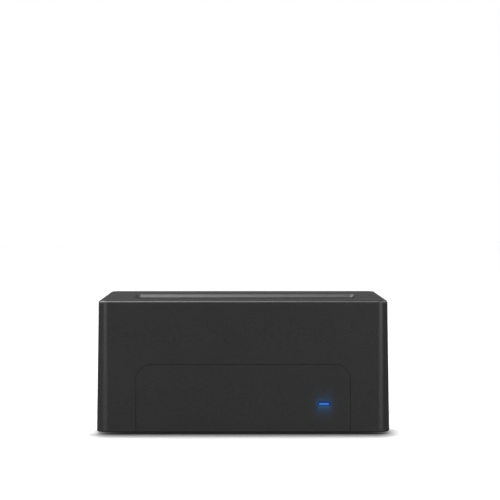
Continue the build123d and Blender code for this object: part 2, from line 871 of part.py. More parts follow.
# Slot flap: an L-shaped plate with three knuckles under its front edge
flap_middle_x = (flap_left_x + flap_right_x) / 2
flap_width = flap_right_x - flap_left_x
knuckles = [
    (flap_left_x, knuckle_length),
    (flap_middle_x - middle_knuckle_length / 2, middle_knuckle_length),
    (flap_right_x - knuckle_length, knuckle_length),
]
web_y = hinge_y + (barrel_radius - flap_front_lip) / 2
with BuildPart() as slot_flap:
    with BuildSketch(Plane.XY.offset(flap_underside_z)):
        with BuildLine():
            Polyline(
                (flap_left_x, flap_front_y),
                (flap_right_x, flap_front_y),
                (flap_right_x, flap_back_y),
                (notch_x, flap_back_y),
                (notch_x, notch_y),
                (flap_left_x, notch_y),
                close=True,
            )
        make_face()
        fillet(vertices().group_by(Axis.Y)[1:], notch_radius)
    extrude(amount=flap_thickness)
    fillet(edges().group_by(Axis.Z)[-1], flap_edge_radius)
    for knuckle_x, length in knuckles:
        with BuildSketch(Plane.YZ.offset(knuckle_x)):
            with Locations((hinge_y, hinge_z)):
                Circle(barrel_radius)
            with Locations((web_y, (hinge_z + flap_underside_z) / 2)):
                Rectangle(flap_front_lip + barrel_radius, barrel_radius)
        extrude(amount=length)
    for rib_share in flap_rib_shares:
        rib_front_y = hinge_y + barrel_radius + flap_rib_margin
        rib_back_y = notch_y - flap_rib_margin
        with Locations(
            (flap_left_x + rib_share * flap_width, (rib_front_y + rib_back_y) / 2, flap_underside_z)
        ):
            Box(flap_rib_width, rib_back_y - rib_front_y, flap_rib_height, align=HANG)
    with BuildSketch(Plane.YZ.offset(flap_left_x)):
        with Locations((hinge_y, hinge_z)):
            Circle(hinge_pin_radius + hinge_play)
    extrude(amount=flap_width, mode=Mode.SUBTRACT)
write_piece(slot_flap, "slot_flap")

# Two torsion springs on the pin, one each side of the middle knuckle
spring_form = torsion_spring()
spring_length = spring_turns * spring_pitch
spring_offset = middle_knuckle_length / 2 + spring_end_gap
for spring_name, spring_x in (
    ("left", flap_middle_x - spring_offset - spring_length),
    ("right", flap_middle_x + spring_offset),
):
    with BuildPart() as flap_spring:
        with Locations(Plane(origin=(spring_x, hinge_y, hinge_z), x_dir=(0, 0, 1), z_dir=(1, 0, 0))):
            add(spring_form)
    write_piece(flap_spring, f"flap_spring_{spring_name}")

# Circuit board
with BuildPart() as main_board:
    with BuildSketch(Plane.XY.offset(board_bottom_z)):
        with Locations((board_shift, board_y)):
            RectangleRounded(board_width, board_depth, board_corner_radius)
        with Locations(*post_places):
            Circle(post_radius + board_post_gap, mode=Mode.SUBTRACT)
        with Locations(*board_hole_places):
            Circle(small_screw_radius + board_hole_play, mode=Mode.SUBTRACT)
        with Locations(*usb_leg_places):
            Rectangle(usb_sheet + 2 * leg_play, usb_leg_width + 2 * leg_play, mode=Mode.SUBTRACT)
        with Locations(*jack_tab_places):
            Rectangle(
                jack_tab_width + 2 * leg_play, jack_tab_thickness + 2 * leg_play, mode=Mode.SUBTRACT
            )
        with Locations(*switch_tab_places):
            Rectangle(
                switch_tab_width + 2 * leg_play,
                switch_tab_thickness + 2 * leg_play,
                mode=Mode.SUBTRACT,
            )
        with Locations(*led_wire_places):
            Rectangle(led_wire + 2 * leg_play, led_wire + 2 * leg_play, mode=Mode.SUBTRACT)
    extrude(amount=board_thickness)
write_piece(main_board, "main_board")

# Edge connector: a tall moulding with two keyed slots between two guide towers
connector_top_z = bay_floor_z + connector_reach
contact_run = (power_contact_count + signal_contact_count - 2) * contact_pitch + segment_gap
first_signal_x = connector_x - contact_run / 2
signal_run = (signal_contact_count - 1) * contact_pitch
power_run = (power_contact_count - 1) * contact_pitch
first_power_x = first_signal_x + signal_run + segment_gap
blade_runs = ((first_signal_x, signal_run), (first_power_x, power_run))
tower_shift = (connector_body_length + connector_tower_length) / 2
tower_height = connector_top_z + connector_tower_rise - board_top_z
with BuildPart() as tower:
    Box(connector_tower_length, connector_tower_width, tower_height, align=STAND)
    chamfer(edges().group_by(Axis.Z)[-1], connector_tower_chamfer)
with BuildPart() as sata_receptacle:
    with Locations((connector_x, connector_y, board_top_z)):
        Box(connector_base_length, connector_base_width, connector_base_height, align=STAND)
        Box(
            connector_body_length,
            connector_body_width,
            connector_top_z - board_top_z,
            align=STAND,
        )
    with Locations(
        (connector_x - tower_shift, connector_y, board_top_z),
        (connector_x + tower_shift, connector_y, board_top_z),
    ):
        add(tower.part)
    with BuildSketch(Plane.XY.offset(connector_top_z)):
        for run_x, run in blade_runs:
            blade_length = run + 2 * blade_slot_margin
            with Locations((run_x + run / 2, connector_y)):
                Rectangle(blade_length, blade_slot_width)
            with Locations((run_x + run + blade_slot_margin - blade_key / 2, connector_y)):
                Rectangle(blade_key, blade_slot_width + blade_key)
    extrude(amount=-blade_slot_depth, mode=Mode.SUBTRACT)
write_piece(sata_receptacle, "sata_receptacle")

# Its contacts, one row along the front side of the slots
contact_xs = [first_signal_x + step * contact_pitch for step in range(signal_contact_count)]
contact_xs += [first_power_x + step * contact_pitch for step in range(power_contact_count)]
contact_y = connector_y - blade_slot_width / 2 + contact_thickness / 2
with BuildPart() as sata_contacts:
    with Locations(*[(x, contact_y, connector_top_z - contact_set_back) for x in contact_xs]):
        Box(contact_width, contact_thickness, contact_length, align=HANG)
write_piece(sata_contacts, "sata_contacts")

# Data socket: a folded steel shell with two legs
with BuildPart() as usb_shell:
    with BuildSketch(Plane.XZ.offset(-usb_front_y)):
        with Locations((usb_x, usb_z)):
            RectangleRounded(usb_width, usb_height, usb_edge_radius)
    extrude(amount=usb_length)
    with BuildSketch(Plane.XZ.offset(-usb_front_y)):
        with Locations((usb_x, usb_z)):
            Rectangle(usb_width - 2 * usb_sheet, usb_height - 2 * usb_sheet)
    extrude(amount=usb_length - usb_sheet, mode=Mode.SUBTRACT)
    with Locations(*on_board(usb_leg_places, board_top_z + usb_leg_root)):
        Box(usb_sheet, usb_leg_width, board_top_z + usb_leg_root - tail_z, align=HANG)
write_piece(usb_shell, "usb_shell")

# Its moulded insert, with a stepped mouth and two tongues inside
usb_insert_front_y = usb_front_y - usb_set_back
usb_mouth_z = board_top_z + usb_sheet + usb_floor
usb_upper_z = usb_mouth_z + usb_lower_height
usb_tongue_z = usb_mouth_z + usb_lower_height / 2
usb_upper_tongue_z = usb_upper_z + usb_upper_height / 2
usb_tongue_length = usb_cavity_depth - usb_tongue_set_back
with BuildPart() as usb_insert:
    with BuildSketch(Plane.XZ.offset(-usb_insert_front_y)):
        with Locations((usb_x, usb_z)):
            Rectangle(usb_width - 2 * usb_sheet, usb_height - 2 * usb_sheet)
    extrude(amount=usb_length - usb_sheet - usb_set_back)
    with BuildSketch(Plane.XZ.offset(-usb_insert_front_y)):
        with Locations((usb_x, usb_tongue_z)):
            Rectangle(usb_lower_width, usb_lower_height)
        chamfer(vertices().group_by(Axis.Y)[-1], usb_lower_chamfer)
        with Locations((usb_x, usb_upper_tongue_z)):
            Rectangle(usb_upper_width, usb_upper_height)
    extrude(amount=usb_cavity_depth, mode=Mode.SUBTRACT)
    with BuildSketch(Plane.XZ.offset(-usb_insert_front_y + usb_tongue_set_back)):
        with Locations((usb_x, usb_tongue_z)):
            Rectangle(usb_tongue_width, usb_tongue_height)
        with Locations((usb_x, usb_upper_tongue_z)):
            Rectangle(usb_upper_tongue_width, usb_upper_tongue_height)
    extrude(amount=usb_tongue_length)
write_piece(usb_insert, "usb_insert")

# Its contacts: two above and two below the tongue, and a fine row on the upper one
usb_pin_y = usb_insert_front_y - usb_cavity_depth + usb_pin_length / 2
usb_pin_rise = (usb_tongue_height + usb_pin_thickness) / 2
fine_pin_z = usb_upper_tongue_z - (usb_upper_tongue_height + usb_pin_thickness) / 2
with BuildPart() as usb_contacts:
    for rise in (-usb_pin_rise, usb_pin_rise):
        with Locations(
            (usb_x - usb_pin_pitch / 2, usb_pin_y, usb_tongue_z + rise),
            (usb_x + usb_pin_pitch / 2, usb_pin_y, usb_tongue_z + rise),
        ):
            Box(usb_pin_width, usb_pin_length, usb_pin_thickness)
    with Locations((usb_x, usb_pin_y, fine_pin_z)):
        with GridLocations(usb_fine_pin_pitch, usb_pin_length, usb_fine_pin_count, 1):
            Box(usb_fine_pin_width, usb_pin_length, usb_pin_thickness)
write_piece(usb_contacts, "usb_contacts")

# Power socket: a moulded block whose round nose fills the hole in the wall
with BuildPart() as dc_jack_body:
    with Locations((jack_x, jack_back_y + jack_length / 2, board_top_z)):
        Box(jack_width, jack_length, jack_height, align=STAND)
    chamfer(edges().group_by(Axis.Z)[-1], jack_edge_radius)
    with BuildSketch(Plane.XZ.offset(-port_y)):
        with Locations((jack_x, jack_z)):
            Circle(jack_nose_radius)
    extrude(amount=2 * wall)
    with BuildSketch(Plane.XZ.offset(-port_y)):
        with Locations((jack_x, jack_z)):
            Circle(jack_bore_radius)
    extrude(amount=jack_bore_depth, mode=Mode.SUBTRACT)
    with BuildSketch(Plane.XZ.offset(-port_y)):
        with Locations((jack_x, jack_z)):
            Circle(jack_pin_radius + jack_pin_play)
    extrude(amount=jack_bore_depth + jack_pin_root, mode=Mode.SUBTRACT)
write_piece(dc_jack_body, "dc_jack_body")

# Its centre pin
with BuildPart() as dc_jack_pin:
    with BuildSketch(Plane.XZ.offset(-port_y + jack_pin_set_back)):
        with Locations((jack_x, jack_z)):
            Circle(jack_pin_radius)
    extrude(amount=jack_bore_depth + jack_pin_root - jack_pin_set_back)
    fillet(edges().group_by(Axis.Y)[-1], jack_pin_radius / 2)
write_piece(dc_jack_pin, "dc_jack_pin")

# Its three solder tabs
with BuildPart() as dc_jack_tabs:
    with Locations(*on_board(jack_tab_places)):
        Box(jack_tab_width, jack_tab_thickness, board_top_z - tail_z, align=HANG)
write_piece(dc_jack_tabs, "dc_jack_tabs")

# Power switch: a moulded case with an open mouth
switch_cavity_width = switch_case_width - 2 * switch_case_wall
switch_cavity_height = switch_case_height - 2 * switch_case_shelf
rocker_height = switch_cavity_height - 2 * rocker_face_play
rocker_half_length = switch_cavity_width / 2 - rocker_end_play
rocker_pin_reach = rocker_height / 2 + rocker_pin_length
with BuildPart() as switch_case:
    with Locations((switch_x, switch_front_y - switch_case_depth / 2, board_top_z)):
        Box(switch_case_width, switch_case_depth, switch_case_height, align=STAND)
    chamfer(edges().group_by(Axis.Y)[-1], switch_edge_radius)
    with BuildSketch(Plane.XZ.offset(-switch_front_y)):
        with Locations((switch_x, switch_z)):
            Rectangle(switch_cavity_width, switch_cavity_height)
    extrude(amount=switch_cavity_depth, mode=Mode.SUBTRACT)
    with Locations((switch_x, switch_pivot_y, switch_z)):
        Cylinder(
            rocker_pin_radius + rocker_pin_play,
            2 * (rocker_pin_reach + rocker_pin_end_play),
            mode=Mode.SUBTRACT,
        )
write_piece(switch_case, "switch_case")

# Rocker, tilted to its ON side
with BuildPart() as rocker_form:
    with BuildSketch(Plane.XY.offset(-rocker_height / 2)):
        with BuildLine():
            Polyline(
                (-rocker_half_length, rocker_crown),
                (-rocker_half_length, rocker_skirt),
                (-rocker_waist, -rocker_skirt),
                (-rocker_keel_half_width, -rocker_keel),
                (rocker_keel_half_width, -rocker_keel),
                (rocker_waist, -rocker_skirt),
                (rocker_half_length, rocker_skirt),
                (rocker_half_length, rocker_crown),
                (0, rocker_valley),
                close=True,
            )
        make_face()
    extrude(amount=rocker_height)
    fillet(edges().group_by(Axis.Y)[-1], rocker_edge_radius)
    Cylinder(rocker_pin_radius, 2 * rocker_pin_reach)
with BuildPart() as switch_rocker:
    with Locations(Location((switch_x, switch_pivot_y, switch_z), (0, 0, rocker_tilt))):
        add(rocker_form.part)
write_piece(switch_rocker, "switch_rocker")

# Its three solder tabs
with BuildPart() as switch_tabs:
    with Locations(*on_board(switch_tab_places)):
        Box(switch_tab_width, switch_tab_thickness, board_top_z - tail_z, align=HANG)
write_piece(switch_tabs, "switch_tabs")

# Bridge chip and its leads on four sides
bridge_body = chip_form(chip_side, chip_side, chip_height)
bridge_leads = chip_leads(
    chip_side, chip_side, chip_height, chip_lead_count, chip_lead_pitch, chip_lead_width, True
)
with BuildPart() as bridge_chip:
    with Locations((chip_x, chip_y, board_top_z)):
        add(bridge_body)
write_piece(bridge_chip, "bridge_chip")
with BuildPart() as bridge_chip_leads:
    with Locations((chip_x, chip_y, board_top_z)):
        add(bridge_leads)
write_piece(bridge_chip_leads, "bridge_chip_leads")

# Flash chip and the two regulators, one small package with leads on two sides
small_body = chip_form(small_chip_length, small_chip_width, small_chip_height)
small_leads = chip_leads(
    small_chip_length,
    small_chip_width,
    small_chip_height,
    small_chip_lead_count,
    small_chip_pitch,
    small_chip_lead_width,
    False,
)
with BuildPart() as flash_chip:
    with Locations((chip_x, front_row_y, board_top_z)):
        add(small_body)
write_piece(flash_chip, "flash_chip")
with BuildPart() as regulator_chips:
    with Locations(*on_board(regulator_places)):
        add(small_body)
write_piece(regulator_chips, "regulator_chips")
with BuildPart() as small_chip_leads:
    with Locations(*on_board([(chip_x, front_row_y), *regulator_places])):
        add(small_leads)
write_piece(small_chip_leads, "small_chip_leads")

# Power inductors: square blocks with cut corners
with BuildPart() as power_inductors:
    with BuildSketch(Plane.XY.offset(board_top_z)):
        with Locations(*inductor_places):
            Rectangle(inductor_side, inductor_side)
        chamfer(vertices(), inductor_chamfer)
    extrude(amount=inductor_height)
write_piece(power_inductors, "power_inductors")

# Bulk capacitors: round cans on square bases
with BuildPart() as capacitor_form:
    Box(capacitor_base_side, capacitor_base_side, capacitor_base_height, align=STAND)
    Cylinder(capacitor_radius, capacitor_height, align=STAND)
    fillet(edges().group_by(Axis.Z)[-1], capacitor_edge_radius)
for number, (can_x, can_y) in enumerate(capacitor_places, start=1):
    with BuildPart() as bulk_capacitor:
        with Locations((can_x, can_y, board_top_z)):
            add(capacitor_form.part)
    write_piece(bulk_capacitor, f"bulk_capacitor_{number}")

# Crystal: a low can with round ends
with BuildPart() as crystal:
    with BuildSketch(Plane.XY.offset(board_top_z)):
        with Locations((crystal_x, chip_y)):
            SlotOverall(crystal_length, crystal_width)
    extrude(amount=crystal_height)
    fillet(edges().group_by(Axis.Z)[-1], crystal_edge_radius)
write_piece(crystal, "crystal")

# Small passives: two fields of chip resistors and capacitors
with BuildPart() as small_passives:
    with Locations(*on_board(passive_places)):
        with GridLocations(
            passive_pitch_x, passive_pitch_y, passive_column_count, passive_row_count
        ):
            Box(passive_length, passive_width, passive_height, align=STAND)
write_piece(small_passives, "small_passives")

# Screws
cover_screw = countersunk_screw()
with BuildPart() as cover_screws:
    with Locations(*[Location((x, y, base_bottom_z), (180, 0, 0)) for x, y in post_places]):
        add(cover_screw)
write_piece(cover_screws, "cover_screws")
board_screw = pan_screw(board_screw_length)
with BuildPart() as board_screws:
    with Locations(*on_board(board_hole_places)):
        add(board_screw)
write_piece(board_screws, "board_screws")
bay_screw = pan_screw(bay_screw_length)
with BuildPart() as bay_screws:
    with Locations(
        *[Location((x, y, ear_top_z - ear_thickness), (180, 0, 0)) for x, y in ear_places]
    ):
        add(bay_screw)
write_piece(bay_screws, "bay_screws")
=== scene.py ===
"""Looks for the hard drive docking station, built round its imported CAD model.

Places and lengths are in metres, except where a comment says millimetres.
"""

import math

import bpy
from mathutils import Matrix, Vector


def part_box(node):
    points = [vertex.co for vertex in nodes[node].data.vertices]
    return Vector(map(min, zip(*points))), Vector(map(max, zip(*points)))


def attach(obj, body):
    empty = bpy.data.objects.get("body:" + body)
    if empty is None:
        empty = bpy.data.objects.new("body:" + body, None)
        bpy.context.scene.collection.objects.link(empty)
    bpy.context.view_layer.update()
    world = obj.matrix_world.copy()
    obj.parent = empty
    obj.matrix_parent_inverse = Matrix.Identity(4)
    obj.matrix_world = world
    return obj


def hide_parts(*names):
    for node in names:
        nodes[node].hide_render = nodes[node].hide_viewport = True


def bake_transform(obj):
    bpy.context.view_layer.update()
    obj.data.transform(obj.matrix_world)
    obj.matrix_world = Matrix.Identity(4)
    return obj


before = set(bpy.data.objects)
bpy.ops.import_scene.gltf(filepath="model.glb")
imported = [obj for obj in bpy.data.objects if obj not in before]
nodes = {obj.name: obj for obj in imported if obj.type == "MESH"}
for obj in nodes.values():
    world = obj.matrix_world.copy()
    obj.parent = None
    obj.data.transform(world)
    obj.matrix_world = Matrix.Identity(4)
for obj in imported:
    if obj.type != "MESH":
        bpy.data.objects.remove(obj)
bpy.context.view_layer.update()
scene = bpy.context.scene

# Camera, solved from the photograph
LENS_MM = 116.6
SENSOR_MM = 36.0
CAMERA_PLACE = (-0.0012, -0.774, 0.1070)
CAMERA_TILT_DEG = (88.2085, 0.0, -0.336)
CLIP_NEAR = 0.02
CLIP_FAR = 20.0

# Lamps: place, point that it looks at, size, watts, and whether it shows in gloss alone
TOP_MIDDLE = (0.0, 0.0, 0.06)
DOCK_MIDDLE = (0.0, 0.0, 0.03)
LAMPS = {
    "top_lamp": ((-0.1, -0.35, 0.95), DOCK_MIDDLE, (0.6, 0.3), 6.0, False),
    "sheen_box": ((-0.25, -0.2, 0.9), TOP_MIDDLE, (0.9, 0.7), 30.0, True),
    "back_glow": ((0.0, 1.0, 0.3), TOP_MIDDLE, (1.4, 0.4), 0.24, True),
    "left_corner_box": ((-0.68, 0.12, 0.62), TOP_MIDDLE, (0.7, 0.7), 40.0, True),
    "right_corner_box": ((0.68, 0.12, 0.62), TOP_MIDDLE, (0.7, 0.7), 17.0, True),
    "left_strip": ((-0.60, -0.81, 0.25), DOCK_MIDDLE, (0.4, 0.9), 9.8, True),
    "right_strip": ((0.58, -0.83, 0.25), DOCK_MIDDLE, (0.4, 0.9), 12.0, True),
}
WORLD_LEVEL = 0.45
WHITE_LEVEL = 1.0

# Floor and the painted shadow on it, which darkens the floor round the foot where the camera
# sees it. Its distance is counted from a rounded core inside the foot.
FLOOR_HALF = 3.0
FLOOR_TONE = 0.8
# Darkest grey of the painted shadow by the foot
PAINTED_SHADOW_TONE = 0.12
SHADOW_CORE_HALF = (0.0585, 0.0370)
SHADOW_ROUND = 0.003
SHADE_REACH = (-0.002, 0.014)
# Camera-only glow that lifts the floor towards white away from the dock, and so paints the
# soft edge of the painted shadow
LIFT_REACH = (0.004, 0.024)
LIFT = (0.016, 0.6)

# Beside the dock the painted shadow is shorter, most of all halfway along its depth
SIDE_FROM = 0.0655
SIDE_REACH = (0.012, 0.030)
SIDE_RATE = (5.0, 0.35)

# Painted light under both ends of the dock, as if light leaked in there, but not under its
# corners, and more of it under the left end than under the right one
LEAK_FROM = 0.0663
LEAK_FADE = 0.003
LEAK_REACH = (0.0345, 0.0385)
LEAK_ENDS = (-0.05, 0.05)
PAINTED_LEAK = (0.3, 0.15)

# Charcoal plastic of the housing: darkest and lightest grey of its grain
HOUSING_TONES = (0.0094, 0.0159)
HOUSING_ROUGH = 0.36
HOUSING_GRAIN_PER_METRE = 2000.0
HOUSING_GRAIN_DEPTH = 0.00004
HOUSING_GLOSS = 0.13

# What all the plain mouldings share
PLAIN_GLOSS = 0.15
GLOSS_IOR = 2.0
CLOUDS_PER_METRE = 55.0
CLOUDS_SHARE = 0.2
SATIN_GRAIN_PER_METRE = 1700.0
SATIN_GRAIN_DEPTH = 0.00002
TINTED_GRAIN_PER_METRE = 1200.0
TINTED_GRAIN_DEPTH = 0.000006

# Streaks of the metals: how many to the metre along x, y and z
EVEN_STREAKS = (900.0, 900.0, 900.0)
DRAWN_ALONG_Y = (2600.0, 260.0, 2600.0)
DRAWN_ALONG_Z = (1500.0, 1500.0, 300.0)
STREAK_DEPTH = 0.00002

# Noise seldom leaves this range, so it is stretched to it
NOISE_RANGE = (0.3, 0.7)
TONE_RANGE = (0.35, 0.65)

# Window of the status light: a pill-shaped core, along x and z, in a ring
CORE_SIZE = (0.0044, 0.00082)
CORE_PLACE = (0.0368, 0.01392)
CORE_SOFT_IN = 0.00015
CORE_SOFT_OUT = 0.0002
CORE_COLOUR = (0.055, 0.165, 0.52)
RING_HALF_HEIGHT = 0.0012
RING_BELOW = (0.005, 0.045, 0.24)
RING_ABOVE = (0.006, 0.028, 0.09)

# Painted glow of the status light on the panel round it, along x and z
GLOW_PLACE = (0.0369, 0.0136)
GLOW_HALF = (0.0020, 0.0007)
GLOW_FADE = (0.0011, 0.0018)
GLOW_COLOUR = (0.01, 0.38, 1.0)
GLOW_STRENGTH = 0.13

# Cans of the capacitors: their black base ends between these heights
CAN_BASE_TOP = (0.0136, 0.0138)

# Springs of the flap, in millimetres: wound along the hinge, with a leg at each end
WIRE_RADIUS = 0.25
COIL_RADIUS = 1.55
COIL_PITCH = 0.95
COIL_TURNS = 4.25
FLAP_LEG = 8.0
WALL_LEG = 7.0
HINGE_Y = -24.1
HINGE_Z = 54.6
LEG_SHARES = (0.33, 0.66, 1.0)
SPRING_STARTS = {"flap_spring_left": -6.4 - COIL_TURNS * COIL_PITCH, "flap_spring_right": 8.8}

# Rocker of the power switch, in millimetres, as it lies before its tilt at rest
ROCKER_PIVOT = (-24.0, 35.765, 17.9)
ROCKER_TILT_DEG = 9.0
ROCKER_HALF = 5.2
ROCKER_CROWN = 2.9
ROCKER_VALLEY = 1.9
MARK_ALONG = 2.75
MARK_HALF = 1.35
MARK_STROKE = 0.27
MARK_PROUD = 0.09

# Rubber feet, in millimetres: radius and height of each bend, from the rim to the middle
FOOT_PROFILE = (
    (5.5, 1.9), (5.5, 0.45), (5.41, 0.18), (5.2, 0.03), (4.95, 0.0), (4.3, 0.0), (4.12, 0.1),
    (4.0, 0.28), (3.5, 0.28), (3.38, 0.1), (3.2, 0.0), (2.5, 0.0), (2.32, 0.1), (2.2, 0.28),
    (1.7, 0.28), (1.58, 0.1), (1.4, 0.0),
)

# How finely the round forms are cut, and the angle from which an edge is sharp
WIRE_SIDES = 12
COIL_STEPS = 24
MARK_STEPS = 48
FOOT_STEPS = 64
SHARP_DEG = 40.0

MM_PER_METRE = 1000


def metres(place):
    """The same place or lengths in metres."""
    return tuple(length / MM_PER_METRE for length in place)


def grey(level):
    """A neutral colour."""
    return (level, level, level, 1.0)


def shade(red, green, blue):
    """A colour from its three parts."""
    return (red, green, blue, 1.0)


class Nodes:
    """Builds one node material step by step."""

    def __init__(self, name):
        self.material = bpy.data.materials.new(name)
        self.material.use_nodes = True
        self.tree = self.material.node_tree
        self.shader = self.tree.nodes["Principled BSDF"]
        self.place = self.add("ShaderNodeTexCoord").outputs["Object"]

    def add(self, kind, **settings):
        """One node, with its settings and what its inputs get."""
        node = self.tree.nodes.new(kind)
        inputs = settings.pop("inputs", {})
        for name, value in settings.items():
            setattr(node, name, value)
        for name, value in inputs.items():
            self.feed(node.inputs[name], value)
        return node

    def feed(self, socket, value):
        """Gives an input a value, or joins it to another node's output."""
        if isinstance(value, bpy.types.NodeSocket):
            self.tree.links.new(value, socket)
        else:
            socket.default_value = value

    def set(self, **values):
        """Sets the shader's own inputs by name, with _ for a space."""
        for name, value in values.items():
            self.feed(self.shader.inputs[name.replace("_", " ")], value)

    def axes(self):
        """The three coordinates of the place on the object."""
        node = self.add("ShaderNodeSeparateXYZ")
        self.feed(node.inputs[0], self.place)
        return node.outputs

    def noise(self, per_metre, detail=2.0, place=None):
        """Noise in object space, as a value from 0 to 1."""
        return self.add(
            "ShaderNodeTexNoise",
            inputs={
                "Vector": self.place if place is None else place,
                "Scale": per_metre,
                "Detail": detail,
            },
        ).outputs["Fac"]

    def spread(self, value, source, target=(0.0, 1.0), smooth=False):
        """Maps one range of a value onto another, and holds it at the ends."""
        return self.add(
            "ShaderNodeMapRange",
            interpolation_type="SMOOTHSTEP" if smooth else "LINEAR",
            inputs={
                "Value": value,
                "From Min": source[0],
                "From Max": source[1],
                "To Min": target[0],
                "To Max": target[1],
            },
        ).outputs["Result"]

    def around(self, value, middle, swing):
        """Noise as a value that varies about a middle."""
        return self.spread(value, NOISE_RANGE, (middle - swing, middle + swing))

    def mix(self, factor, first, second):
        """One colour turning into another, by the node's own sockets for colours."""
        node = self.add("ShaderNodeMix", data_type="RGBA")
        self.feed(node.inputs[0], factor)
        self.feed(node.inputs[6], first)
        self.feed(node.inputs[7], second)
        return node.outputs[2]

    def math(self, operation, first, second=None):
        """One sum of one or two values."""
        node = self.add("ShaderNodeMath", operation=operation)
        self.feed(node.inputs[0], first)
        if second is not None:
            self.feed(node.inputs[1], second)
        return node.outputs[0]

    def past(self, value, limit):
        """How far a value is above a limit, and 0 below it."""
        return self.math("MAXIMUM", self.math("SUBTRACT", value, limit), 0.0)

    def distance(self, first, second):
        """The straight line over two legs at right angles."""
        squares = [self.math("MULTIPLY", leg, leg) for leg in (first, second)]
        return self.math("SQRT", self.math("ADD", *squares))

    def bump(self, height, depth):
        """Bends the shading by a height map."""
        node = self.add(
            "ShaderNodeBump", inputs={"Height": height, "Distance": depth, "Strength": 1.0}
        )
        self.set(Normal=node.outputs["Normal"], Coat_Normal=node.outputs["Normal"])


def textured_plastic(name, tones, rough, grain_per_metre, grain_depth, gloss=PLAIN_GLOSS):
    """Moulded plastic with a fine spark-eroded grain and a slightly uneven tone."""
    m = Nodes(name)
    grain = m.noise(grain_per_metre, detail=3.0)
    clouds = m.noise(CLOUDS_PER_METRE)
    tone = m.math(
        "ADD",
        m.math("MULTIPLY", clouds, CLOUDS_SHARE),
        m.math("MULTIPLY", grain, 1.0 - CLOUDS_SHARE),
    )
    m.set(
        Base_Color=m.mix(m.spread(tone, TONE_RANGE), grey(tones[0]), grey(tones[1])),
        Roughness=m.around(grain, rough, 0.05),
        Specular_IOR_Level=0.0,
        Coat_Weight=gloss,
        Coat_Roughness=rough,
        Coat_IOR=GLOSS_IOR,
    )
    m.bump(grain, grain_depth)
    return m


def housing_plastic(name):
    """The charcoal plastic of the housing and its front panel."""
    return textured_plastic(
        name,
        HOUSING_TONES,
        HOUSING_ROUGH,
        HOUSING_GRAIN_PER_METRE,
        HOUSING_GRAIN_DEPTH,
        gloss=HOUSING_GLOSS,
    )


def glowing_panel():
    """The housing's plastic, with a painted blue glow round the status light, as the light
    would throw on it.
    """
    m = housing_plastic("panel_plastic_painted_glow")
    x, _, z = m.axes()
    reach = []
    for along, place, half, fade in zip((x, z), GLOW_PLACE, GLOW_HALF, GLOW_FADE):
        away = m.math("ABSOLUTE", m.math("SUBTRACT", along, place))
        reach.append(m.math("DIVIDE", m.past(away, half), fade))
    strength = m.math("EXPONENT", m.math("MULTIPLY", m.distance(*reach), -1.0))
    # Painted light: blue emission on the panel that fades away from the status light
    m.set(
        Emission_Color=shade(*GLOW_COLOUR),
        Emission_Strength=m.math("MULTIPLY", strength, GLOW_STRENGTH),
    )
    return m


def light_window():
    """The window of the status light: a bright core in a deep blue ring."""
    m = Nodes("light_window")
    x, _, z = m.axes()
    length, height = CORE_SIZE
    away_x = m.math("ABSOLUTE", m.math("SUBTRACT", x, CORE_PLACE[0]))
    away_z = m.math("SUBTRACT", z, CORE_PLACE[1])
    distance = m.distance(m.past(away_x, (length - height) / 2), away_z)
    edge = (height / 2 - CORE_SOFT_IN, height / 2 + CORE_SOFT_OUT)
    rise = m.spread(away_z, (-RING_HALF_HEIGHT, RING_HALF_HEIGHT))
    ring = m.mix(rise, shade(*RING_BELOW), shade(*RING_ABOVE))
    m.set(
        Base_Color=shade(0.002, 0.004, 0.02),
        Roughness=0.3,
        Specular_IOR_Level=0.05,
        Emission_Color=m.mix(m.spread(distance, edge, (1.0, 0.0)), ring, shade(*CORE_COLOUR)),
        Emission_Strength=1.0,
    )
    return m


def satin_plastic(name, level, rough):
    """Plain black moulding with a faint grain."""
    tones = (level * 0.75, level * 1.25)
    return textured_plastic(name, tones, rough, SATIN_GRAIN_PER_METRE, SATIN_GRAIN_DEPTH)


def rubber():
    """Matt rubber with a fine dusting."""
    return textured_plastic(
        "foot_rubber",
        tones=(0.012, 0.022),
        rough=0.7,
        grain_per_metre=1800.0,
        grain_depth=0.00003,
        gloss=0.1,
    )


def chip_resin():
    """Black moulding resin with a fine sparkle."""
    return textured_plastic(
        "chip_resin",
        tones=(0.012, 0.022),
        rough=0.55,
        grain_per_metre=4000.0,
        grain_depth=0.000008,
    )


def tinted_plastic(name, dark, light, rough):
    """Coloured moulding, ink or ferrite with a faint grain."""
    m = Nodes(name)
    grain = m.noise(TINTED_GRAIN_PER_METRE, detail=3.0)
    m.set(Base_Color=m.mix(grain, dark, light), Roughness=rough)
    m.bump(grain, TINTED_GRAIN_DEPTH)
    return m


def plated_metal(name, colour, rough, streaks_per_metre=EVEN_STREAKS):
    """Plated or drawn metal with faint streaks, longest where they are fewest."""
    m = Nodes(name)
    place = m.add("ShaderNodeVectorMath", operation="MULTIPLY")
    m.feed(place.inputs[0], m.place)
    m.feed(place.inputs[1], streaks_per_metre)
    streaks = m.noise(1.0, detail=3.0, place=place.outputs[0])
    darker = [part * 0.88 for part in colour]
    m.set(
        Base_Color=m.mix(streaks, shade(*darker), shade(*colour)),
        Metallic=1.0,
        Roughness=m.around(streaks, rough, 0.03),
    )
    m.bump(streaks, STREAK_DEPTH)
    return m


def aluminium_can():
    """Drawn aluminium over a black base."""
    m = Nodes("can_aluminium")
    _, _, z = m.axes()
    streaks = m.noise(700.0, detail=4.0)
    base = m.spread(z, CAN_BASE_TOP, (1.0, 0.0))
    m.set(
        Base_Color=m.mix(base, m.mix(streaks, grey(0.4), grey(0.48)), grey(0.02)),
        Metallic=m.math("SUBTRACT", 1.0, base),
        Roughness=m.around(streaks, 0.35, 0.07),
    )
    return m


